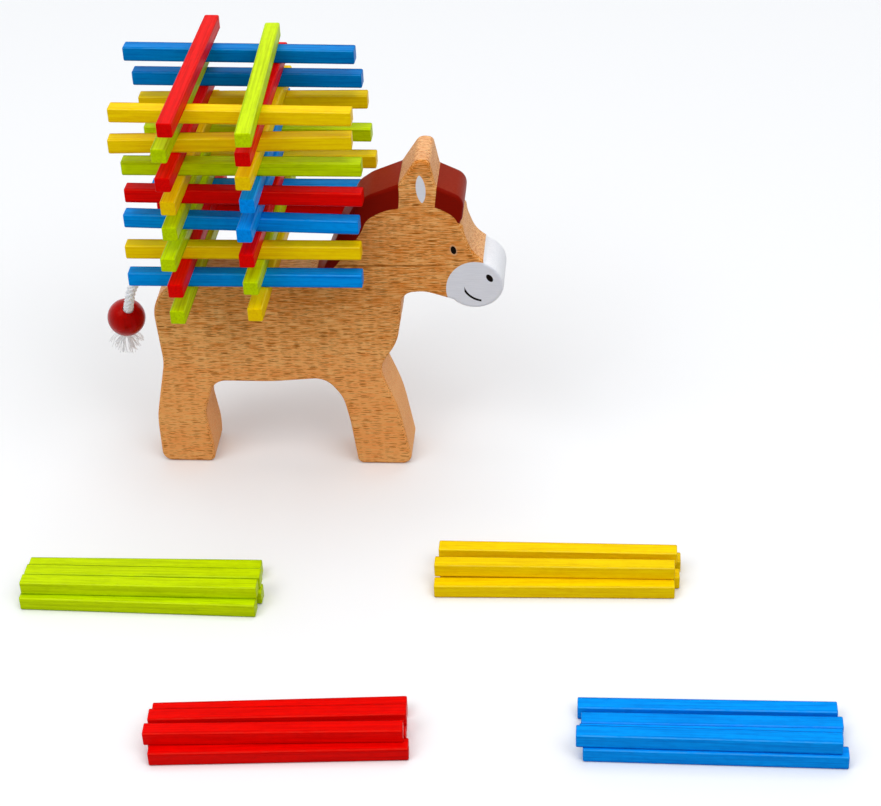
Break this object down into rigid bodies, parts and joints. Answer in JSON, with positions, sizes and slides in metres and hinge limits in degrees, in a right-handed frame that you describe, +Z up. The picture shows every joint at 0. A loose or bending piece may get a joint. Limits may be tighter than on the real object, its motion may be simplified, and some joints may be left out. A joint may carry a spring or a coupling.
{
  "type": "stacking balance game",
  "caption": "Wooden balance game: a flat sawn donkey carries a crosswise lattice of coloured square sticks on its back, with loose piles of sticks beside it.",
  "frame": {"origin": "middle of the sole of the front hoof, on the table", "axes": "+X along the donkey towards its muzzle, +Y through the board towards the back, +Z up"},
  "size_m": [0.3215, 0.2533, 0.182],
  "materials": {
    "beech_board": "satin beech, red-brown mane and pale muzzle painted on",
    "tail_cord": "white braided cotton",
    "red_bead": "glossy lacquer",
    "tail_fibres": "frayed cotton",
    "lime_stick": "satin stain",
    "yellow_stick": "satin stain",
    "red_stick": "satin stain",
    "blue_stick": "satin stain"
  },
  "bodies": {
    "root": {"donkey": "beech_board", "tail_cord": "tail_cord", "tail_bead": "red_bead", "tail_tassel": "tail_fibres", "stack_left_1": "lime_stick", "stack_left_2": "red_stick", "stack_left_3": "lime_stick", "stack_left_4": "lime_stick", "stack_left_5": "yellow_stick", "stack_left_6": "red_stick", "stack_left_7": "lime_stick", "stack_left_8": "red_stick", "stack_right_1": "yellow_stick", "stack_right_2": "lime_stick", "stack_right_3": "red_stick", "stack_right_4": "blue_stick", "stack_right_5": "blue_stick", "stack_right_6": "yellow_stick", "stack_right_7": "red_stick", "stack_right_8": "lime_stick", "stack_front_1": "blue_stick", "stack_front_2": "yellow_stick", "stack_front_3": "blue_stick", "stack_front_4": "red_stick", "stack_front_5": "lime_stick", "stack_front_6": "yellow_stick", "stack_front_7": "yellow_stick", "stack_rear_1": "red_stick", "stack_rear_2": "blue_stick", "stack_rear_3": "yellow_stick", "stack_rear_4": "lime_stick", "stack_rear_5": "yellow_stick", "stack_rear_6": "blue_stick", "stack_rear_7": "blue_stick", "loose_lime_1": "lime_stick", "loose_lime_2": "lime_stick", "loose_lime_3": "lime_stick", "loose_lime_4": "lime_stick", "loose_lime_5": "lime_stick", "loose_yellow_1": "yellow_stick", "loose_yellow_2": "yellow_stick", "loose_yellow_3": "yellow_stick", "loose_yellow_4": "yellow_stick", "loose_yellow_5": "yellow_stick", "loose_red_1": "red_stick", "loose_red_2": "red_stick", "loose_red_3": "red_stick", "loose_red_4": "red_stick", "loose_red_5": "red_stick", "loose_red_6": "red_stick", "loose_blue_1": "blue_stick", "loose_blue_2": "blue_stick", "loose_blue_3": "blue_stick", "loose_blue_4": "blue_stick", "loose_blue_5": "blue_stick"}
  },
  "joints": []
}
